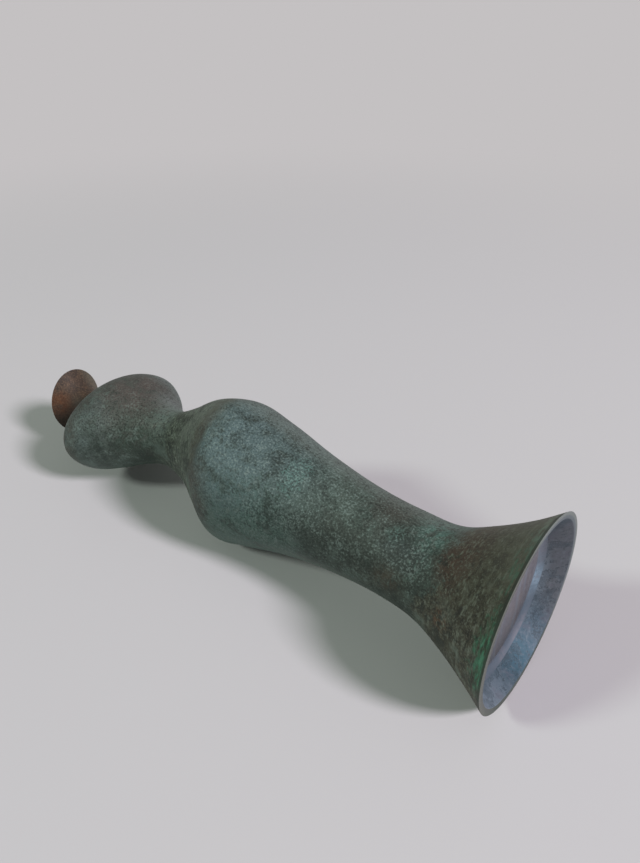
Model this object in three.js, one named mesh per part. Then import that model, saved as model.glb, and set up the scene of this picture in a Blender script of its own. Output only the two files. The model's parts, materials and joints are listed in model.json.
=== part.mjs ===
import * as THREE from 'three';

// A bud vase in patinated bronze: one hollow casting from the foot to the mouth, closed underneath by a flat
// base plate that is soldered into the foot. Millimetres, +Z up.
// The vase is drawn standing on its foot, with its front towards +X, and is then laid on its back on a table.

// Lengths along the vase, each measured from the end of the one before it.
const stemHeight = 54;
const bellyRise = 90;
const neckRise = 44;
const bulbRise = 42;
const throatRise = 29;
const trumpetLength = 15;

// Half sizes of the main forms. Depth is measured from back to front, and width from side to side.
const footRadius = 40;
const stemDepth = 18;
const stemWidth = 20.5;
const bellyDepth = 36.5;
const bellyWidth = 29;
const neckDepth = 15.5;
const neckWidth = 12.5;
const bulbDepth = 24;
const bulbWidth = 34.5;
const throatDepth = 8;
const throatWidth = 8.5;
const mouthDepth = 19;
const mouthWidth = 15.5;

// How far the middles of the main forms stand behind the middle of the foot, or in front of it.
const stemBack = 1;
const neckForward = 1;
const bulbBack = 3.5;
const mouthBack = 6;

// The main sections of the casting, from the foot to the mouth. Each is an ellipse, and its rise is how far it lies
// above the main section before it. The sections on the way there shape the curve in between. Their numbers are
// shares of the way, and a share over 1 leans past the section above.
const mainSections = [
  { name: 'foot rim', rise: 0, depth: footRadius, width: footRadius, forward: 0, onTheWay: [] },
  {
    name: 'stem', rise: stemHeight, depth: stemDepth, width: stemWidth, forward: -stemBack,
    onTheWay: [
      { name: 'foot flare', rise: 0.185, depth: 0.295, width: 0.333, forward: 1.5 },
      { name: 'instep', rise: 0.444, depth: 0.636, width: 0.718, forward: 2.5 },
      { name: 'waist', rise: 0.667, depth: 0.955, width: 0.897, forward: 2 },
    ],
  },
  {
    name: 'belly', rise: bellyRise, depth: bellyDepth, width: bellyWidth, forward: 0,
    onTheWay: [
      { name: 'middle stem', rise: 0.244, depth: 0.108, width: 0, forward: 0.5 },
      { name: 'upper stem', rise: 0.556, depth: 0.378, width: 0.412, forward: 1.5 },
      { name: 'lower belly', rise: 0.822, depth: 0.757, width: 0.941, forward: 1.5 },
    ],
  },
  {
    name: 'neck', rise: neckRise, depth: neckDepth, width: neckWidth, forward: neckForward,
    onTheWay: [
      { name: 'shoulder', rise: 0.295, depth: 0.119, width: 0.424, forward: 0 },
      { name: 'shoulder slope', rise: 0.636, depth: 0.619, width: 0.879, forward: 1 },
    ],
  },
  {
    name: 'bulb', rise: bulbRise, depth: bulbDepth, width: bulbWidth, forward: -bulbBack,
    onTheWay: [
      { name: 'bulb base', rise: 0.357, depth: 0.235, width: 0.273, forward: 0.222 },
      { name: 'lower bulb', rise: 0.667, depth: 0.706, width: 0.727, forward: 0.556 },
    ],
  },
  {
    name: 'throat', rise: throatRise, depth: throatDepth, width: throatWidth, forward: -mouthBack,
    onTheWay: [
      { name: 'upper bulb', rise: 0.379, depth: 0.219, width: 0.173, forward: 0.6 },
      { name: 'bulb crown', rise: 0.69, depth: 0.875, width: 0.865, forward: 1 },
    ],
  },
  {
    name: 'mouth', rise: trumpetLength, depth: mouthDepth, width: mouthWidth, forward: -mouthBack,
    onTheWay: [
      { name: 'trumpet', rise: 0.533, depth: 0.273, width: 0.286, forward: 0 },
    ],
  },
];

// The wall is one thickness up to the throat and thins from there to the lip of the mouth.
const wall = 2.6;
const lipWall = 1.6;

// The base plate lies inside the foot, and a seam of solder fills the corner under its edge.
const plateRecess = 10;
const plateThickness = 2;
const seamLeg = 2;
const seamHollow = 0.6;
const fitGap = 0.3;

// Facets of the surfaces: corners round a section, and rings from one named section to the next. The middles of the
// facets touch the round section, so the corners stand a little outside it.
const corners = 40;
const cornerReach = 1 / Math.cos(Math.PI / corners);
const outerSteps = 3;
const innerSteps = 2;

// All the sections in order, with their real sizes and their heights above the foot.
function sectionsInOrder() {
  const inOrder = [];
  let below = { height: 0 };
  for (const { name, rise, depth, width, forward, onTheWay } of mainSections) {
    const above = { name, height: below.height + rise, depth, width, forward };
    for (const share of onTheWay) {
      inOrder.push({
        name: share.name,
        height: THREE.MathUtils.lerp(below.height, above.height, share.rise),
        depth: THREE.MathUtils.lerp(below.depth, above.depth, share.depth),
        width: THREE.MathUtils.lerp(below.width, above.width, share.width),
        forward: THREE.MathUtils.lerp(below.forward, above.forward, share.forward),
      });
    }
    inOrder.push(above);
    below = above;
  }
  return inOrder;
}

const sections = sectionsInOrder();
const foot = sections[0];
const mouth = sections[sections.length - 1];
const throat = sections.find((section) => section.name === 'throat');

// The slope of one of the sizes at section i, from the sections on either side of it.
function slopeAtSection(size, i) {
  const last = sections.length - 1;
  const rise = (k) => sections[k + 1].height - sections[k].height;
  const slope = (k) => (sections[k + 1][size] - sections[k][size]) / rise(k);
  if (i === 0) return 1.5 * slope(0) - 0.5 * slopeAtSection(size, 1);
  if (i === last) return 1.5 * slope(last - 1) - 0.5 * slopeAtSection(size, last - 1);
  return (slope(i - 1) * rise(i) + slope(i) * rise(i - 1)) / (rise(i - 1) + rise(i));
}

// A size at any height, on a smooth curve through the sections: a cubic on each span, with those slopes at its ends.
function sizeAt(size, height) {
  const above = sections.findIndex((section) => section.height >= height);
  const i = Math.max(above - 1, 0);
  const low = sections[i];
  const high = sections[i + 1];
  const span = high.height - low.height;
  const t = (height - low.height) / span;
  const blend = t * t * (3 - 2 * t);
  const bow = slopeAtSection(size, i) * t * (1 - t) ** 2 - slopeAtSection(size, i + 1) * t * t * (1 - t);
  return low[size] * (1 - blend) + high[size] * blend + span * bow;
}

// The ellipse at a height, drawn in by an inset that is measured square to the wall.
function ring(height, inset) {
  const probe = 0.5;
  const below = Math.max(height - probe, foot.height);
  const above = Math.min(height + probe, mouth.height);
  const drawnIn = (size) => {
    const slope = (sizeAt(size, above) - sizeAt(size, below)) / (above - below);
    return sizeAt(size, height) - inset * Math.sqrt(1 + slope * slope);
  };
  return { height, depth: drawnIn('depth'), width: drawnIn('width'), forward: sizeAt('forward', height) };
}

function wallAt(height) {
  const towardsLip = THREE.MathUtils.clamp((height - throat.height) / (mouth.height - throat.height), 0, 1);
  return THREE.MathUtils.lerp(wall, lipWall, towardsLip);
}

// Heights at the named sections and at even steps between them.
function ringHeights(steps) {
  const heights = [foot.height];
  for (let i = 1; i < sections.length; i++) {
    for (let step = 1; step <= steps; step++) {
      heights.push(THREE.MathUtils.lerp(sections[i - 1].height, sections[i].height, step / steps));
    }
  }
  return heights;
}

// A closed surface through rings in order. A hollow one goes round and joins its last ring to its first, and a
// solid one is closed by a flat face at each end. A flat side, not a corner, faces straight back to the table.
function loft(rings, hollow) {
  const positions = [];
  const indices = [];
  for (const { height, depth, width, forward } of rings) {
    for (let k = 0; k < corners; k++) {
      const angle = ((k + 0.5) / corners) * 2 * Math.PI;
      positions.push(
        forward + cornerReach * depth * Math.cos(angle),
        cornerReach * width * Math.sin(angle),
        height,
      );
    }
  }
  const spans = hollow ? rings.length : rings.length - 1;
  for (let i = 0; i < spans; i++) {
    const here = i * corners;
    const next = ((i + 1) % rings.length) * corners;
    for (let k = 0; k < corners; k++) {
      const along = (k + 1) % corners;
      indices.push(here + k, here + along, next + along);
      indices.push(here + k, next + along, next + k);
    }
  }
  if (!hollow) {
    const top = (rings.length - 1) * corners;
    for (let k = 1; k < corners - 1; k++) {
      indices.push(0, k + 1, k);
      indices.push(top, top + k, top + k + 1);
    }
  }
  const geometry = new THREE.BufferGeometry();
  geometry.setAttribute('position', new THREE.Float32BufferAttribute(positions, 3));
  geometry.setIndex(indices);
  geometry.computeVertexNormals();
  return geometry;
}

// The casting: up its outside to the mouth, over the lip, down its inside and across the flat foot rim.
function vaseBody() {
  const outside = ringHeights(outerSteps).map((height) => ring(height, 0));
  const inside = ringHeights(innerSteps).map((height) => ring(height, wallAt(height)));
  const material = new THREE.MeshStandardMaterial({ color: '#4f625a', roughness: 0.7, metalness: 0.4 });
  const mesh = new THREE.Mesh(loft([...outside, ...inside.reverse()], true), material);
  mesh.name = 'vase_body';
  return mesh;
}

// The plate's edge leans as the wall of the foot does, a soldering gap away from it.
function basePlate() {
  const top = plateRecess + plateThickness;
  const edge = [plateRecess, top].map((height) => ring(height, wallAt(height) + fitGap));
  const material = new THREE.MeshStandardMaterial({ color: '#7b7680', roughness: 0.6, metalness: 0.5 });
  const mesh = new THREE.Mesh(loft(edge, false), material);
  mesh.name = 'base_plate';
  return mesh;
}

// The seam is a hollow fillet: one leg up the wall, one under the plate, and a face drawn in between them.
function baseSolderSeam() {
  const top = plateRecess - fitGap;
  const atWall = wallAt(top) + fitGap;
  const face = seamLeg / 2 - seamHollow / Math.SQRT2;
  const section = [
    ring(top - seamLeg, atWall),
    ring(top, atWall),
    ring(top, atWall + seamLeg),
    ring(top - face, atWall + face),
  ];
  const material = new THREE.MeshStandardMaterial({ color: '#8fa1ad', roughness: 0.55, metalness: 0.6 });
  const mesh = new THREE.Mesh(loft(section, true), material);
  mesh.name = 'base_solder_seam';
  return mesh;
}

// On its back the vase touches the table with its foot rim and its belly, and that sets how far it leans.
function leanOnTable() {
  const back = (height) => sizeAt('forward', height) - sizeAt('depth', height);
  const slopes = ringHeights(outerSteps)
    .filter((height) => height > foot.height)
    .map((height) => (back(height) - back(foot.height)) / (height - foot.height));
  return Math.atan(Math.min(...slopes));
}

const standing = new THREE.Group();
standing.add(vaseBody(), basePlate(), baseSolderSeam());
standing.rotation.y = -(Math.PI / 2 + leanOnTable());

const vase = new THREE.Group();
vase.add(standing);
vase.updateMatrixWorld(true);
const reach = new THREE.Box3().setFromObject(vase, true);
const middle = reach.getCenter(new THREE.Vector3());
standing.position.set(-middle.x, -middle.y, -reach.min.z);

export default vase;
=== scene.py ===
import json
from functools import partial
from math import cos, pi, radians, sin, sqrt

import bmesh
import bpy
from mathutils import Matrix, Vector, noise


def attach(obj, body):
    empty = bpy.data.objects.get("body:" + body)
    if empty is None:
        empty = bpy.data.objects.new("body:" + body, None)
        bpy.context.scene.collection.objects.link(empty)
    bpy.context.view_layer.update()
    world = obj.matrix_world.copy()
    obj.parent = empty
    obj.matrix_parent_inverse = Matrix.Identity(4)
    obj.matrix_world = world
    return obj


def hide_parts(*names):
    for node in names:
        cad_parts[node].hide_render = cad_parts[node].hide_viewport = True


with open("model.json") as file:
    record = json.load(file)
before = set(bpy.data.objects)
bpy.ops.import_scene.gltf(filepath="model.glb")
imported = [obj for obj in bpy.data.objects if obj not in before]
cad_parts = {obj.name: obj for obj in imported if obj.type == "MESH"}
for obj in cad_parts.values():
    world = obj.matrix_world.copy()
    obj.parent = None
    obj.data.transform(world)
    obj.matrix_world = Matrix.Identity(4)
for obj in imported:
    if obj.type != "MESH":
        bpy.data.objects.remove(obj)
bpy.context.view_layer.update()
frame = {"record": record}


# The vase body.
# One hollow bronze casting, poured round a core from a modelled wax, so its wall is even and it has no seam.
# The patina was sponged and brushed on hot: grey-green over brown oxide, thin on the shoulder and the flare.

mm = 0.001

# Sections of the casting, from the foot to the mouth: height above the foot, half the size from back to
# front, half the size from side to side, and how far the centre stands in front of the foot's. Millimetres.
casting_sections = [
    ("foot rim", 0, 40, 40, 0),
    ("foot flare", 10, 33.5, 33.5, -1.5),
    ("instep", 24, 26, 26, -2.5),
    ("waist", 36, 19, 22.5, -2),
    ("stem", 54, 18, 20.5, -1),
    ("middle stem", 76, 20, 20.5, -0.5),
    ("upper stem", 104, 25, 24, 0.5),
    ("lower belly", 128, 32, 28.5, 0.5),
    ("belly", 144, 36.5, 29, 0),
    ("shoulder", 157, 34, 22, 0),
    ("shoulder slope", 172, 23.5, 14.5, 1),
    ("neck", 188, 15.5, 12.5, 1),
    ("bulb base", 203, 17.5, 18.5, 0),
    ("lower bulb", 216, 21.5, 28.5, -1.5),
    ("bulb", 230, 24, 34.5, -3.5),
    ("upper bulb", 241, 20.5, 30, -5),
    ("bulb crown", 250, 10, 12, -6),
    ("throat", 259, 8, 8.5, -6),
    ("trumpet", 267, 11, 10.5, -6),
    ("mouth", 274, 19, 15.5, -6),
]
heights = [section[1] for section in casting_sections]
depths = [section[2] for section in casting_sections]
widths = [section[3] for section in casting_sections]
leanings = [section[4] for section in casting_sections]
throat_height = 259
mouth_height = heights[-1]
wall = 2.6
lip_wall = 1.6
around = 96

# The vase lies on its back. The flat face of its foot says where the foot is and which way the vase points.
foot_face = frame["record"]["mounts"][0]
underneath = Vector(foot_face["axis"])
foot_centre = Vector((foot_face["pos_m"][0], 0, foot_face["pos_m"][2]))
front = Vector((-underneath.z, 0, underneath.x))
side = Vector((0, 1, 0))
standing = Matrix((front, side, -underneath)).transposed().to_4x4()
lying = Matrix.Translation(foot_centre) @ standing


def slope_at(sizes, i):
    """The slope of a size at section i, from the sections on either side. The ends run out straight."""
    last = len(heights) - 1
    slopes = [(sizes[k + 1] - sizes[k]) / (heights[k + 1] - heights[k]) for k in range(last)]
    if i == 0:
        return 1.5 * slopes[0] - 0.5 * slope_at(sizes, 1)
    if i == last:
        return 1.5 * slopes[-1] - 0.5 * slope_at(sizes, last - 1)
    under = heights[i] - heights[i - 1]
    over = heights[i + 1] - heights[i]
    return (slopes[i - 1] * over + slopes[i] * under) / (under + over)


def size_at(sizes, height):
    """A size at any height, on a smooth curve through the sections."""
    i = max(next(k for k, reached in enumerate(heights) if reached >= height) - 1, 0)
    span = heights[i + 1] - heights[i]
    t = (height - heights[i]) / span
    blend = t * t * (3 - 2 * t)
    bow = slope_at(sizes, i) * t * (1 - t) ** 2 - slope_at(sizes, i + 1) * t * t * (1 - t)
    return sizes[i] * (1 - blend) + sizes[i + 1] * blend + span * bow


def ring(height, inset=0):
    """Places a unit circle as the casting's section at a height, drawn in by an inset square to the wall."""
    half_probe = 0.5
    below = max(height - half_probe, 0)
    above = min(height + half_probe, mouth_height)
    drawn_in = []
    for sizes in (depths, widths):
        slope = (size_at(sizes, above) - size_at(sizes, below)) / (above - below)
        drawn_in.append((size_at(sizes, height) - inset * sqrt(1 + slope * slope)) * mm)
    centre = Matrix.Translation((size_at(leanings, height) * mm, 0, height * mm))
    return lying @ centre @ Matrix.Diagonal((*drawn_in, 1, 1))


def wall_at(height):
    """The wall is even up to the throat and thins from there to the lip."""
    towards_lip = max(height - throat_height, 0) / (mouth_height - throat_height)
    return wall + (lip_wall - wall) * towards_lip


def loft(rings):
    """A closed tube of wall through rings in order: a circle is extruded from ring to ring and joined up."""
    shell = bmesh.new()
    bmesh.ops.create_circle(shell, segments=around, radius=1, matrix=rings[0])
    first = list(shell.edges)
    edges = first
    for before, after in zip(rings, rings[1:]):
        extruded = bmesh.ops.extrude_edge_only(shell, edges=edges)["geom"]
        moved = [part for part in extruded if isinstance(part, bmesh.types.BMVert)]
        drawn = [part for part in extruded if isinstance(part, bmesh.types.BMEdge)]
        edges = [edge for edge in drawn if set(edge.verts) <= set(moved)]
        bmesh.ops.transform(shell, matrix=after @ before.inverted(), verts=moved)
    bmesh.ops.bridge_loops(shell, edges=first + edges)
    bmesh.ops.recalc_face_normals(shell, faces=shell.faces)
    return shell


def wear(shell, lump, depth):
    """Presses the surface in by up to a depth, in soft lumps of a size, so that it isn't machine-smooth."""
    unevenness = 0.4
    shell.normal_update()
    for vert in shell.verts:
        pressed = 1 - unevenness + unevenness * noise.noise(vert.co / (lump * mm))
        vert.co -= vert.normal * depth * mm * pressed


def piece(name, shell, material, slot, *nodes):
    """Makes a smooth-shaded piece of the vase, which stands for nodes of the solid model."""
    mesh = bpy.data.meshes.new(name)
    shell.to_mesh(mesh)
    shell.free()
    mesh.shade_smooth()
    mesh.materials.append(material)
    thing = bpy.data.objects.new(name, mesh)
    bpy.context.scene.collection.objects.link(thing)
    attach(thing, "root")
    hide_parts(*nodes)
    return thing


def linear(colour):
    """An sRGB hex colour as linear red, green, blue and alpha."""
    shares = [int(colour[i:i + 2], 16) / 255 for i in (1, 3, 5)]
    return [s / 12.92 if s <= 0.04045 else ((s + 0.055) / 1.055) ** 2.4 for s in shares] + [1]


def add(material, kind, settings=None, sockets=None, output=0):
    """Adds a node with its settings, and returns one of its outputs. A socket takes a value or an output."""
    node = material.node_tree.nodes.new(kind)
    for name, value in (settings or {}).items():
        setattr(node, name, value)
    for name, value in (sockets or {}).items():
        if isinstance(value, bpy.types.NodeSocket):
            material.node_tree.links.new(value, node.inputs[name])
        else:
            node.inputs[name].default_value = value
    return node.outputs[output]


def start_material(name, metallic, roughness, specular):
    """A material, and the place on its surface in millimetres."""
    material = bpy.data.materials.new(name)
    material.use_nodes = True
    shader = material.node_tree.nodes["Principled BSDF"]
    shader.inputs["Metallic"].default_value = metallic
    shader.inputs["Roughness"].default_value = roughness
    shader.inputs["Specular IOR Level"].default_value = specular
    where = add(material, "ShaderNodeTexCoord", output="Object")
    place = add(material, "ShaderNodeMapping", sockets={"Vector": where, "Scale": (1 / mm,) * 3})
    return material, place


def finish_material(material, colour, relief, depth, roughness=None):
    """Joins a colour, a relief of a depth in millimetres and maybe a roughness to a material's shader."""
    shader = material.node_tree.nodes["Principled BSDF"]
    material.node_tree.links.new(colour, shader.inputs["Base Color"])
    normal = add(material, "ShaderNodeBump", sockets={"Height": relief, "Distance": depth * mm})
    material.node_tree.links.new(normal, shader.inputs["Normal"])
    if roughness:
        material.node_tree.links.new(roughness, shader.inputs["Roughness"])


def band(material, distance, low, high, fade):
    """1 where a distance lies between low and high, and 0 beyond. Each end fades over a length in mm."""
    ends = [
        add(
            material, "ShaderNodeMapRange", {"interpolation_type": "SMOOTHSTEP"},
            {"Value": distance, "From Min": end - fade / 2, "From Max": end + fade / 2},
        )
        for end in (low, high)
    ]
    return add(material, "ShaderNodeMath", {"operation": "SUBTRACT"}, {0: ends[0], 1: ends[1]})


def on_casting(height, turn):
    """The point of the outside, in millimetres, at a height and a turn: 0 is the side, and 90 the front."""
    round_it = radians(90 - turn)
    return (ring(height) @ Vector((cos(round_it), -sin(round_it), 0))) / mm


def patch(material, place, torn_by, height, turn, length, breadth):
    """1 inside a patch of that length and breadth on the casting, 0 outside. A figure tears its edge."""
    tear = 2.4
    covered = 1.6
    bare = 2.7
    reach = add(
        material, "ShaderNodeVectorMath", {"operation": "SUBTRACT"}, {0: place, 1: on_casting(height, turn)}
    )
    scaled = add(
        material, "ShaderNodeVectorMath", {"operation": "DIVIDE"},
        {0: reach, 1: (length / 2, breadth / 2, breadth / 2)},
    )
    away = add(material, "ShaderNodeVectorMath", {"operation": "LENGTH"}, {0: scaled}, output="Value")
    torn = add(material, "ShaderNodeMath", {"operation": "MULTIPLY_ADD"}, {0: torn_by, 1: tear, 2: away})
    return add(
        material, "ShaderNodeMapRange", {"interpolation_type": "SMOOTHSTEP"},
        {"Value": torn, "From Min": bare, "From Max": covered},
    )


def coat(material, ground, layers):
    """Lays tints over a ground colour, each up to a strength, where a figure rises from low to high.

    A layer may end with a place, which is 1 where the tint lies and 0 beyond it.
    """
    factor, under, over, mixed = 0, 6, 7, 2
    colour = linear(ground)
    for tint, strength, figure, low, high, *places in layers:
        cover = add(
            material, "ShaderNodeMapRange", {"interpolation_type": "SMOOTHSTEP"},
            {"Value": figure, "From Min": low, "From Max": high, "To Max": strength},
        )
        for inside in places:
            cover = add(material, "ShaderNodeMath", {"operation": "MULTIPLY"}, {0: cover, 1: inside})
        colour = add(
            material, "ShaderNodeMix", {"data_type": "RGBA"},
            {factor: cover, under: colour, over: linear(tint)}, output=mixed,
        )
    return colour


# Patinated bronze. A thin crust of copper salts hides the metal, so it reads as matt stone with a faint waxed
# sheen: grey-green over a brown oxide, clouded in every size from the cloth's down to the sponge's stipple.
# The sizes are those of the largest spots in millimetres. The real stipple is about 0.4 mm, and it is drawn
# twice as coarse, so that it shows.
patina, place = start_material("patinated_bronze", metallic=0.1, roughness=0.6, specular=0.3)
drift, cloud, sponge, stipple = (
    add(
        patina, "ShaderNodeTexNoise",
        sockets={"Vector": place, "Scale": 1 / size, "Detail": detail, "Roughness": roughness},
    )
    for size, detail, roughness in ((30, 3, 0.6), (11, 5, 0.75), (3, 4, 0.7), (0.85, 2, 0.6))
)

# Where a point lies: across the vase from its middle, above the table, and above the foot.
across = add(patina, "ShaderNodeSeparateXYZ", sockets={"Vector": place}, output="Y")
level = add(patina, "ShaderNodeSeparateXYZ", sockets={"Vector": place}, output="Z")
downwards = add(
    patina, "ShaderNodeVectorMath", {"operation": "DOT_PRODUCT"}, {0: place, 1: underneath}, output="Value"
)
foot_reach = underneath.dot(foot_centre) / mm
height = add(patina, "ShaderNodeMath", {"operation": "SUBTRACT"}, {0: foot_reach, 1: downwards})

# The dots lie in swarms, the pale ones where the clouds are pale and the dark ones where they are dark.
swarm = stipple
for figure, weight in ((cloud, 0.9), (sponge, 0.5)):
    swarm = add(patina, "ShaderNodeMath", {"operation": "MULTIPLY_ADD"}, {0: figure, 1: weight, 2: swarm})

# The brush was drawn round the vase. Its strokes are about 0.6 mm wide, and four times as long on the foot.
stroke_pitch = 1.2
unrolled_radius = 9
from_centre = add(
    patina, "ShaderNodeVectorMath", {"operation": "SUBTRACT"}, {0: place, 1: foot_centre / mm}
)
off_axis = add(patina, "ShaderNodeVectorMath", {"operation": "MULTIPLY"}, {0: from_centre, 1: (0, 1, 1)})
radius = add(patina, "ShaderNodeVectorMath", {"operation": "LENGTH"}, {0: off_axis}, output="Value")
round_axis = add(patina, "ShaderNodeVectorMath", {"operation": "NORMALIZE"}, {0: off_axis})
along = add(patina, "ShaderNodeVectorMath", {"operation": "MULTIPLY"}, {0: place, 1: (1, 0, 0)})
unrolled = add(
    patina, "ShaderNodeVectorMath", {"operation": "MULTIPLY_ADD"},
    {0: round_axis, 1: (unrolled_radius,) * 3, 2: along},
)
strokes = add(
    patina, "ShaderNodeTexNoise",
    sockets={"Vector": unrolled, "Scale": 1 / stroke_pitch, "Detail": 3, "Roughness": 0.6},
)

# The finishes run into each other along the vase, in edges that wander with the larger clouds. Each band is
# given by where its two ends are and by the length over which they fade.
drift_wander = 36
sponge_wander = 14
mean_wander = (drift_wander + sponge_wander) / 2
wander = height
for figure, reach in ((drift, drift_wander), (sponge, sponge_wander)):
    wander = add(patina, "ShaderNodeMath", {"operation": "MULTIPLY_ADD"}, {0: figure, 1: reach, 2: wander})
wander = add(patina, "ShaderNodeMath", {"operation": "SUBTRACT"}, {0: wander, 1: mean_wander})
on_flare = band(patina, wander, -50, 31, 3)
on_belly = band(patina, wander, 92, 149, 24)
on_shank = band(patina, wander, 31, 149, 6)
on_neck = band(patina, wander, 152, 195, 12)
on_bulb = band(patina, wander, 195, 254, 14)
on_mouth = band(patina, height, 257, 290, 5)
between_flares = band(patina, height, 31, 257, 8)
over_top = band(patina, across, 4, 28, 16)
stem_to_neck = band(patina, wander, 31, 195, 10)
low_side = band(patina, level, 0, 44, 12)
# Painted shade lies in a band along the side, 41 to 50 mm above the floor.
painted_shade_band = band(patina, level, 41, 50, 8)
on_lip = band(patina, height, -2, 0.2, 0.1)
# Painted shade falls on the rounding just beside the foot's lip.
lip_shade_line = band(patina, height, 0.2, 1.3, 0.4)

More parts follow.
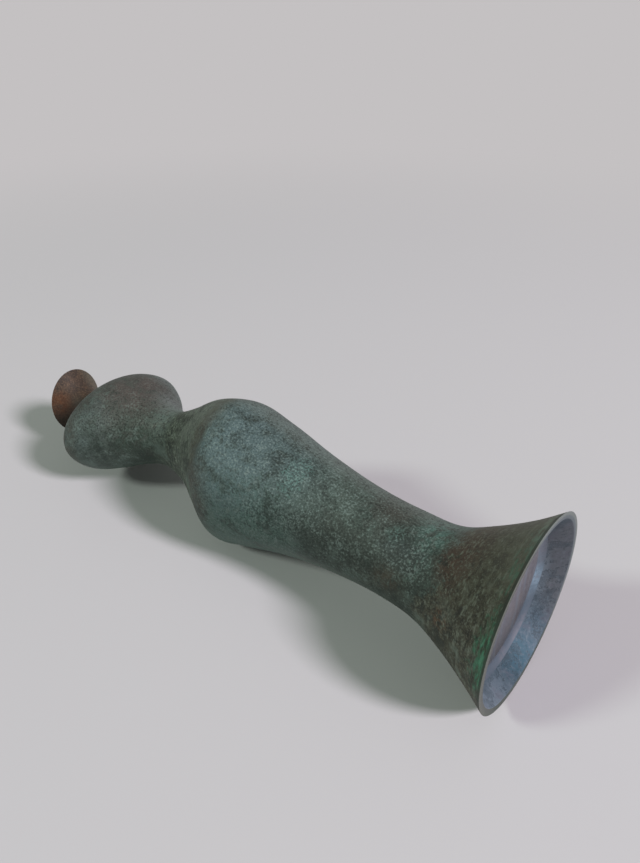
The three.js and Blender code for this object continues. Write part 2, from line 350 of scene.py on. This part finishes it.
spot = partial(patch, patina, place)
colour = coat(patina, "#343c36", [
    # Grey-green clouds over dark green, everywhere.
    ("#46524b", 0.9, cloud, 0.38, 0.62),
    # The stem and belly are greener. The belly has a bluish bloom, with a brown rub beside the shoulder.
    ("#3e4c45", 0.6, sponge, 0.40, 0.60, on_shank),
    ("#465652", 0.8, cloud, 0.34, 0.56, on_belly),
    ("#4b5b5d", 0.6, sponge, 0.34, 0.60, spot(sponge, 128, 60, 66, 86)),
    ("#55696d", 0.45, cloud, 0.38, 0.60, spot(sponge, 136, 36, 42, 76)),
    ("#2c3a37", 0.35, cloud, 0.52, 0.40, spot(sponge, 118, 60, 60, 70)),
    ("#4b756d", 0.6, stipple, 0.46, 0.6, spot(sponge, 102, 66, 10, 17)),
    ("#466459", 0.7, sponge, 0.2, 0.5, spot(sponge, 124, -22, 64, 50)),
    ("#48433b", 0.9, sponge, 0.25, 0.5, spot(sponge, 145, 6, 16, 32)),
    # The stem has a brown, a slate and a dark rub, a small teal pool and a green tide mark by the flare.
    ("#3b3731", 0.75, sponge, 0.3, 0.55, spot(sponge, 60, 105, 20, 26)),
    ("#3f6158", 0.7, sponge, 0.4, 0.58, spot(sponge, 40, 95, 17, 24)),
    ("#43675f", 0.5, stipple, 0.44, 0.6, spot(stipple, 53, 67, 9, 10)),
    ("#4c565c", 0.3, sponge, 0.36, 0.58, spot(sponge, 47, 50, 22, 10)),
    ("#2e3631", 0.5, sponge, 0.3, 0.6, spot(sponge, 46, 40, 24, 34)),
    # The neck is darker, with fine strokes round it. The shoulder is paler on top.
    ("#42493e", 0.9, sponge, 0.2, 0.5, on_neck),
    ("#2d352b", 0.7, cloud, 0.5, 0.4, on_neck),
    ("#5f6a5d", 0.6, sponge, 0.5, 0.64, on_neck),
    ("#222921", 0.65, sponge, 0.5, 0.36, on_neck),
    ("#6c776b", 0.85, strokes, 0.52, 0.66, on_neck),
    ("#171d17", 0.85, strokes, 0.48, 0.34, on_neck),
    ("#697068", 0.7, cloud, 0.3, 0.6, spot(sponge, 162, 80, 30, 40)),
    # The bulb has a mauve-grey top over stippled green, a brown edge by the mouth and a pale one by the neck.
    ("#3c4740", 0.8, sponge, 0.3, 0.6, on_bulb),
    ("#1f2a23", 0.5, sponge, 0.48, 0.35, on_bulb),
    ("#5f6f68", 0.4, sponge, 0.52, 0.66, on_bulb),
    ("#4b4440", 0.8, sponge, 0.25, 0.5, spot(sponge, 214, 96, 46, 50)),
    ("#5a4c46", 0.35, cloud, 0.50, 0.62, spot(sponge, 214, 100, 44, 56)),
    ("#48574e", 0.35, cloud, 0.50, 0.38, spot(sponge, 214, 100, 44, 56)),
    ("#7d8783", 0.5, across, 12, 28, on_bulb),
    ("#41392e", 0.75, sponge, 0.3, 0.5, spot(sponge, 233, 18, 13, 36)),
    ("#29382d", 0.65, sponge, 0.3, 0.6, spot(sponge, 198, 8, 34, 30)),
    ("#6b7c76", 0.5, sponge, 0.3, 0.6, spot(sponge, 189, 100, 14, 36)),
    ("#4d5a58", 0.6, cloud, 0.3, 0.6, spot(sponge, 226, 30, 26, 34)),
    ("#7f8a87", 0.55, sponge, 0.3, 0.6, spot(sponge, 197, 140, 24, 26)),
    ("#43554b", 0.4, swarm, 1.1, 1.4, spot(sponge, 200, 40, 28, 34)),
    ("#29352c", 0.65, sponge, 0.3, 0.6, spot(sponge, 194, 4, 34, 22)),
    # The flare is olive brown, with spots of rust and strokes round it.
    ("#414033", 0.97, sponge, 0.0, 0.3, on_flare),
    ("#29271e", 0.8, cloud, 0.52, 0.38, on_flare),
    ("#54584e", 0.6, cloud, 0.5, 0.62, on_flare),
    ("#24231b", 0.5, sponge, 0.48, 0.36, on_flare),
    ("#5a5e53", 0.4, sponge, 0.53, 0.66, on_flare),
    ("#402f24", 0.7, sponge, 0.36, 0.56, spot(sponge, 27, 66, 16, 22)),
    ("#5a3821", 0.8, sponge, 0.42, 0.58, spot(sponge, 24, 13, 8, 9)),
    ("#543624", 0.4, sponge, 0.44, 0.6, spot(sponge, 30, 60, 8, 10)),
    ("#46382f", 0.65, sponge, 0.3, 0.5, spot(sponge, 25, 84, 18, 44)),
    ("#70776a", 0.6, strokes, 0.53, 0.68, on_flare),
    ("#191913", 0.6, strokes, 0.46, 0.32, on_flare),
    ("#6a7066", 0.5, stipple, 0.54, 0.68, on_flare),
    # Just past the top, the stem, belly and neck are paler. The far side has patches of the same kinds.
    ("#6c7670", 0.5, over_top, 0, 1, stem_to_neck),
    ("#4a5c5b", 0.7, sponge, 0.34, 0.60, spot(sponge, 126, 195, 60, 56)),
    ("#3c5a50", 0.7, sponge, 0.4, 0.6, spot(sponge, 62, 185, 26, 22)),
    ("#433022", 0.7, sponge, 0.36, 0.56, spot(sponge, 26, 205, 16, 26)),
    ("#4a5d56", 0.6, swarm, 1.1, 1.4, spot(sponge, 222, 200, 34, 40)),
    # Painted shade: a dark streak runs along the side of the stem, above a paler streak of painted floor
    # light.
    ("#262b25", 0.6, sponge, 0.3, 0.55, spot(sponge, 72, 26, 72, 16)),
    ("#222b26", 0.65, sponge, 0.3, 0.55, spot(sponge, 43, 46, 18, 22)),
    ("#50574e", 0.65, cloud, 0.35, 0.6, spot(sponge, 48, -10, 34, 20)),
    # Pale and dark dots, many of them in swarms, with a few pale strokes above the flare.
    ("#778781", 0.4, swarm, 1.24, 1.46, on_shank),
    ("#6d7a75", 0.35, swarm, 1.24, 1.46, on_bulb),
    ("#76867f", 0.2, stipple, 0.53, 0.66, on_shank),
    ("#8b9a98", 0.1, stipple, 0.54, 0.66, on_belly),
    ("#1b2422", 0.12, stipple, 0.46, 0.34, on_belly),
    ("#66857a", 0.35, strokes, 0.5, 0.66, spot(sponge, 40, 84, 12, 40)),
    ("#1a211d", 0.35, stipple, 0.47, 0.34, between_flares),
    ("#171d19", 0.5, swarm, 1.16, 0.98),
    # Painted shade: the dark dots crowd a band along the side, where the light turns away.
    ("#171d19", 0.5, stipple, 0.52, 0.38, painted_shade_band),
    # Soft clouds over the dots, on the low side and the belly, and brown rubs over them.
    ("#25312b", 0.5, cloud, 0.49, 0.36, low_side),
    ("#5b6b64", 0.42, cloud, 0.52, 0.64, low_side),
    ("#57696b", 0.4, cloud, 0.3, 0.6, spot(sponge, 131, 24, 28, 24)),
    ("#28342f", 0.4, cloud, 0.5, 0.4, spot(cloud, 122, 0, 70, 40)),
    ("#5e6e68", 0.4, sponge, 0.52, 0.64, spot(cloud, 122, 0, 70, 40)),
    ("#2c302a", 0.65, sponge, 0.2, 0.5, spot(cloud, 26, -36, 40, 24)),
    ("#40382b", 0.8, sponge, 0.38, 0.6, spot(sponge, 50, 14, 14, 11)),
    ("#3a3126", 0.45, sponge, 0.3, 0.5, spot(sponge, 151, 46, 8, 54)),
    # Painted light and shade: the flare's top is paler, the side of the stem and belly darker, the underside
    # paler.
    ("#6a685d", 0.3, over_top, 0, 1, on_flare),
    ("#6c6c60", 0.4, level, 58, 80, on_flare),
    ("#1a231d", 0.3, level, 54, 43, on_shank),
    ("#556b60", 0.35, level, 34, 14, between_flares),
    ("#6b766f", 0.45, level, 35, 26, spot(cloud, 80, -36, 50, 40)),
    # Fresh green runs along the rim of the foot in brushed streaks.
    ("#2f654d", 0.9, strokes, 0.38, 0.58, spot(sponge, 1, 14, 11, 30)),
    ("#58876f", 0.5, strokes, 0.52, 0.66, spot(sponge, 1, 18, 10, 28)),
    ("#345e4d", 0.6, strokes, 0.44, 0.62, spot(sponge, 1, 66, 8, 40)),
    ("#7d8a80", 0.45, strokes, 0.40, 0.62, spot(sponge, 0, 96, 8, 30)),
    ("#2b5c45", 0.7, strokes, 0.40, 0.60, spot(sponge, 2, 230, 10, 30)),
    ("#1b3d2c", 0.6, strokes, 0.48, 0.38, spot(sponge, 0, 16, 8, 34)),
    # The trumpet is bare of green, a rust-brown oxide that is warmest on the side.
    ("#382e26", 1.0, sponge, 0.0, 0.1, on_mouth),
    ("#493a2d", 0.8, sponge, 0.42, 0.6, on_mouth),
    ("#603a22", 0.72, cloud, 0.3, 0.55, spot(cloud, 271, 16, 24, 15)),
    ("#685441", 0.5, stipple, 0.52, 0.66, on_mouth),
    ("#7c7a6a", 0.4, across, 2, 14, on_mouth),
    ("#1f1610", 0.6, stipple, 0.46, 0.32, on_mouth),
    # Painted shade: the trumpet darkens towards its bottom.
    ("#1a130d", 0.5, level, 36, 22, on_mouth),
    ("#1a130d", 0.5, cloud, 0.2, 0.5, spot(cloud, 263, 26, 13, 16)),
    # A line of painted shade runs on the rounding beside the foot's lip. The lip is rubbed pale at its edge,
    # and is slate inside that, olive at the side and green at the bottom.
    ("#252b25", 0.7, sponge, 0.2, 0.4, lip_shade_line),
    ("#6e7573", 0.9, sponge, 0.2, 0.4, on_lip),
    ("#50595f", 0.8, radius, 38.7, 37.8, on_lip),
    ("#55564e", 0.7, across, -2, -18, on_lip),
    ("#3c453e", 0.8, level, 24, 4, on_lip),
])
dull = add(patina, "ShaderNodeMapRange", sockets={"Value": cloud, "To Min": 0.48, "To Max": 0.75})
relief = stipple
for figure, weight in ((sponge, 1.6), (strokes, 0.6)):
    relief = add(patina, "ShaderNodeMath", {"operation": "MULTIPLY_ADD"}, {0: figure, 1: weight, 2: relief})
finish_material(patina, colour, relief, 0.1, dull)

# Fumed bronze. Inside the foot the casting took only the fumes: slate on the far side, then blue with a teal
# pool, and pale slate on the near side. It has a painted highlight by the solder, dark veins and fine
# scratches.
fumed, place = start_material("fumed_bronze", metallic=0.15, roughness=0.55, specular=0.3)
cloud, stipple, curl = (
    add(
        fumed, "ShaderNodeTexNoise",
        sockets={"Vector": place, "Scale": 1 / size, "Detail": detail, "Roughness": roughness},
    )
    for size, detail, roughness in ((9, 4, 0.7), (1.5, 3, 0.65), (5, 1, 0.5))
)

# A vein or a scratch is a line along which its figure has one value, give or take a little.
vein = add(fumed, "ShaderNodeMath", {"operation": "COMPARE"}, {0: cloud, 1: 0.47, 2: 0.012})
scratch = add(fumed, "ShaderNodeMath", {"operation": "COMPARE"}, {0: curl, 1: 0.6, 2: 0.006})
across = add(fumed, "ShaderNodeSeparateXYZ", sockets={"Vector": place}, output="Y")
spot = partial(patch, fumed, place)
colour = coat(fumed, "#43545f", [
    ("#5a5f64", 0.9, across, 22, 32),
    ("#6c7984", 0.9, across, 1, -17),
    ("#303f48", 0.5, cloud, 0.5, 0.38),
    ("#5b5864", 0.35, cloud, 0.52, 0.64),
    ("#3d5a6a", 0.35, cloud, 0.35, 0.6, spot(cloud, 5, 246, 18, 26)),
    ("#2f5767", 0.7, cloud, 0.3, 0.6, spot(stipple, 6, -104, 16, 17)),
    # Painted highlight: a pale glow on the wall beside the solder.
    ("#8394a0", 0.5, cloud, 0.3, 0.6, spot(cloud, 9, 202, 6, 34)),
    ("#75828c", 0.25, stipple, 0.54, 0.68),
    ("#20262c", 0.3, stipple, 0.46, 0.32),
    ("#2a343c", 0.5, vein, 0, 1),
    ("#7c848a", 0.2, scratch, 0, 1),
])
finish_material(fumed, colour, cloud, 0.1)

# The casting goes up its outside to the mouth, over the lip, down its inside and across the foot's flat lip.
steps_between = 5
outside = [0]
for low, high in zip(heights, heights[1:]):
    outside += [low + (high - low) * (k + 1) / steps_between for k in range(steps_between)]
inside = outside[::-1]
casting = loft([ring(rise) for rise in outside] + [ring(rise, wall_at(rise)) for rise in inside])
lip_rounding = 0.3
rim_angle = radians(50)
rims = [edge for edge in casting.edges if edge.calc_face_angle(0) > rim_angle]
bmesh.ops.bevel(
    casting, geom=rims, offset=lip_rounding * mm, offset_type="OFFSET", segments=2, profile=0.5,
    affect="EDGES", material=-1,
)
wear(casting, lump=16, depth=0.15)

# The faces inside the foot that look towards its middle are fumed, up to behind the base plate.
fumed_height = 13
looks_inwards = -0.5
upright = lying.inverted()
casting.normal_update()
for face in casting.faces:
    from_foot = upright @ face.calc_center_median()
    outwards = Vector((from_foot.x, from_foot.y, 0)).normalized()
    faces_in = (upright.to_3x3() @ face.normal).dot(outwards) < looks_inwards
    face.material_index = int(faces_in and from_foot.z < fumed_height * mm)
vase_body = piece("vase_body_cast", casting, patina, "patinated_bronze", "vase_body")
vase_body.data.materials.append(fumed)
rounding = vase_body.modifiers.new("rounding", "SUBSURF")
rounding.levels = 1
rounding.render_levels = 1


# The base plate.
# A flat disc of sheet bronze that closes the hole where the core was taken out, 10 mm inside the foot.
# It took the patina's fumes and was wiped once, so it is mauve and slate blue, in soft clouds and streaks.

plate_recess = 10
plate_thickness = 2
fit_gap = 0.3

plate_metal, place = start_material("tarnished_bronze_plate", metallic=0.2, roughness=0.5, specular=0.4)
wiped = add(plate_metal, "ShaderNodeMapping", sockets={"Vector": place, "Scale": (1, 0.5, 0.1)})
cloud, stipple, streak = (
    add(
        plate_metal, "ShaderNodeTexNoise",
        sockets={"Vector": spread, "Scale": 1 / size, "Detail": detail, "Roughness": roughness},
    )
    for spread, size, detail, roughness in ((place, 12, 4, 0.7), (place, 1.2, 3, 0.65), (wiped, 2, 3, 0.6))
)
level = add(plate_metal, "ShaderNodeSeparateXYZ", sockets={"Vector": place}, output="Z")
colour = coat(plate_metal, "#6d6b71", [
    ("#716e70", 0.9, level, 30, 16),
    ("#7d7877", 0.6, cloud, 0.48, 0.64),
    ("#66717d", 0.45, cloud, 0.46, 0.36),
    ("#74808c", 0.4, streak, 0.5, 0.62),
    ("#655f62", 0.4, streak, 0.48, 0.36),
    ("#9a9da0", 0.4, stipple, 0.54, 0.68),
    ("#4b4a50", 0.5, stipple, 0.44, 0.32),
])
finish_material(plate_metal, colour, stipple, 0.1)

plate = bmesh.new()
plate_edge = ring(plate_recess, wall_at(plate_recess) + fit_gap)
edge_band = 1
bmesh.ops.create_circle(plate, cap_ends=True, segments=around, radius=1, matrix=plate_edge)
bmesh.ops.inset_region(plate, faces=plate.faces, thickness=edge_band * mm, use_even_offset=True)
thickened = bmesh.ops.extrude_face_region(plate, geom=plate.faces[:])["geom"]
lifted = [part for part in thickened if isinstance(part, bmesh.types.BMVert)]
bmesh.ops.translate(plate, verts=lifted, vec=-underneath * plate_thickness * mm)
bmesh.ops.recalc_face_normals(plate, faces=plate.faces)
piece("base_plate_disc", plate, plate_metal, "plate_bronze", "base_plate")


# The solder seam.
# A bead of soft tin solder, run into the corner between the plate and the wall of the foot to make it tight.
# It wets both and so has a hollow face, a quarter round. It tarnishes pale blue-grey.

seam_leg = 2

solder, place = start_material("soft_solder", metallic=0.2, roughness=0.6, specular=0.3)
cloud, stipple = (
    add(
        solder, "ShaderNodeTexNoise",
        sockets={"Vector": place, "Scale": 1 / size, "Detail": detail, "Roughness": roughness},
    )
    for size, detail, roughness in ((14, 4, 0.7), (1.5, 3, 0.65))
)
level = add(solder, "ShaderNodeSeparateXYZ", sockets={"Vector": place}, output="Z")
colour = coat(solder, "#5a6670", [
    # Painted highlight: the bead is palest about 30 mm above the floor, greyer above that and darker below.
    ("#7d919f", 0.85, level, 20, 28),
    ("#626a73", 0.9, level, 31, 38),
    ("#525b66", 0.8, level, 26, 14),
    ("#66676f", 0.5, cloud, 0.5, 0.62),
    ("#4b5a66", 0.5, cloud, 0.5, 0.38),
    ("#4a5862", 0.4, stipple, 0.46, 0.34),
])
finish_material(solder, colour, stipple, 0.1)

# The bead bites a hair into the plate and the wall, so that no gap shows.
seam_overlap = 0.02
seam_top = plate_recess + seam_overlap
at_wall = wall_at(seam_top) - seam_overlap
cove_steps = 6
seam_rings = [ring(seam_top, at_wall)]
for step in range(cove_steps + 1):
    swept = radians(90 * step / cove_steps)
    seam_rings.append(ring(seam_top - seam_leg * (1 - sin(swept)), at_wall + seam_leg * (1 - cos(swept))))
bead = loft(seam_rings)
wetted_edge = radians(60)
for edge in bead.edges:
    edge.smooth = edge.calc_face_angle(0) < wetted_edge
piece("solder_bead", bead, solder, "soft_solder", "base_solder_seam")


# The floor, the lamps and the camera.
# The vase lies on a plain pale floor under a soft lamp from beyond its foot, with a weaker one opposite. Past
# the shadows the floor runs out into a plain pale backdrop. Lengths here are in metres.

floor_colour = "#c6c4c6"
backdrop_colour = "#c4c1c2"
floor_half = 8.0
shadows_reach = 0.3
floor_mesh = bpy.data.meshes.new("floor")
ground_sheet = bmesh.new()
bmesh.ops.create_grid(ground_sheet, x_segments=1, y_segments=1, size=floor_half)
ground_sheet.to_mesh(floor_mesh)
ground_sheet.free()
floor = bpy.data.objects.new("floor", floor_mesh)
bpy.context.scene.collection.objects.link(floor)
paint = bpy.data.materials.new("pale_floor")
paint.use_nodes = True
floor_mesh.materials.append(paint)
paint_shader = paint.node_tree.nodes["Principled BSDF"]
paint_shader.inputs["Base Color"].default_value = linear(floor_colour)
paint_shader.inputs["Roughness"].default_value = 0.6
paint_shader.inputs["Specular IOR Level"].default_value = 0.2


def seen(material):
    """1 for the camera, a reflection or a clear material, and 0 for the light that falls on the vase."""
    to_camera = add(material, "ShaderNodeLightPath", output="Is Camera Ray")
    for other in ("Is Glossy Ray", "Is Transmission Ray"):
        ray = add(material, "ShaderNodeLightPath", output=other)
        to_camera = add(material, "ShaderNodeMath", {"operation": "MAXIMUM"}, {0: to_camera, 1: ray})
    return to_camera


where = add(paint, "ShaderNodeTexCoord", output="Object")
distance = add(paint, "ShaderNodeVectorMath", {"operation": "LENGTH"}, {0: where}, output="Value")
far = add(
    paint, "ShaderNodeMapRange", {"interpolation_type": "SMOOTHSTEP"},
    {"Value": distance, "From Min": shadows_reach, "From Max": 3 * shadows_reach},
)
far = add(paint, "ShaderNodeMath", {"operation": "MULTIPLY"}, {0: far, 1: seen(paint)})
pale = add(paint, "ShaderNodeEmission", sockets={"Color": linear(backdrop_colour), "Strength": 1.0})
fading = add(
    paint, "ShaderNodeMixShader", sockets={0: far, 1: paint_shader.outputs["BSDF"], 2: pale}
)
paint.node_tree.links.new(fading, paint.node_tree.nodes["Material Output"].inputs["Surface"])


def lamp(name, share, azimuth, elevation, distance, size, colour):
    """A round soft lamp aimed at the vase, which gives a share of the light on the floor."""
    light = bpy.data.lights.new(name, "AREA")
    light.shape = "DISK"
    light.size = size
    light.color = colour
    light.energy = share * pi ** 2 * distance ** 2 / sin(radians(elevation))
    holder = bpy.data.objects.new(name, light)
    towards = Vector((
        cos(radians(azimuth)) * cos(radians(elevation)),
        sin(radians(azimuth)) * cos(radians(elevation)),
        sin(radians(elevation)),
    ))
    holder.location = towards * distance
    holder.rotation_euler = towards.to_track_quat("Z", "Y").to_euler()
    bpy.context.scene.collection.objects.link(holder)


lamp("main_lamp", 0.61, azimuth=0, elevation=38, distance=5, size=0.95, colour=(1.04, 0.965, 1.045))
lamp("second_lamp", 0.22, azimuth=240, elevation=38, distance=5, size=0.9, colour=(0.92, 1.07, 0.94))

room = bpy.data.worlds.new("room_light")
bpy.context.scene.world = room
room.use_nodes = True
sky = room.node_tree.nodes["Background"]
sky.inputs["Color"].default_value = (0.95, 1.04, 0.94, 1)
sky.inputs["Strength"].default_value = 0.17
backdrop = add(room, "ShaderNodeBackground", sockets={"Color": linear(backdrop_colour), "Strength": 1.0})
shown = add(
    room, "ShaderNodeMixShader", sockets={0: seen(room), 1: sky.outputs["Background"], 2: backdrop}
)
room.node_tree.links.new(shown, room.node_tree.nodes["World Output"].inputs["Surface"])

# The camera stands where the photograph was taken from, in millimetres from the middle of the foot and turned
# in degrees. Its focal length is in pixels of the photograph.
camera_from_foot = Vector((46.0, -183.2, 195.9))
camera_azimuth = 37.985
camera_pitch = 34.017
focal_length = 700
photo_height = 863
camera = bpy.data.objects.new("camera", bpy.data.cameras.new("camera"))
camera.data.sensor_width = 36
camera.data.lens = focal_length / photo_height * camera.data.sensor_width
camera.data.clip_start = 0.01
camera.location = foot_centre + camera_from_foot * mm
camera.rotation_euler = (radians(90 - camera_pitch), 0, radians(camera_azimuth))
bpy.context.scene.collection.objects.link(camera)
bpy.context.scene.camera = camera
bpy.context.scene.view_settings.view_transform = "Standard"
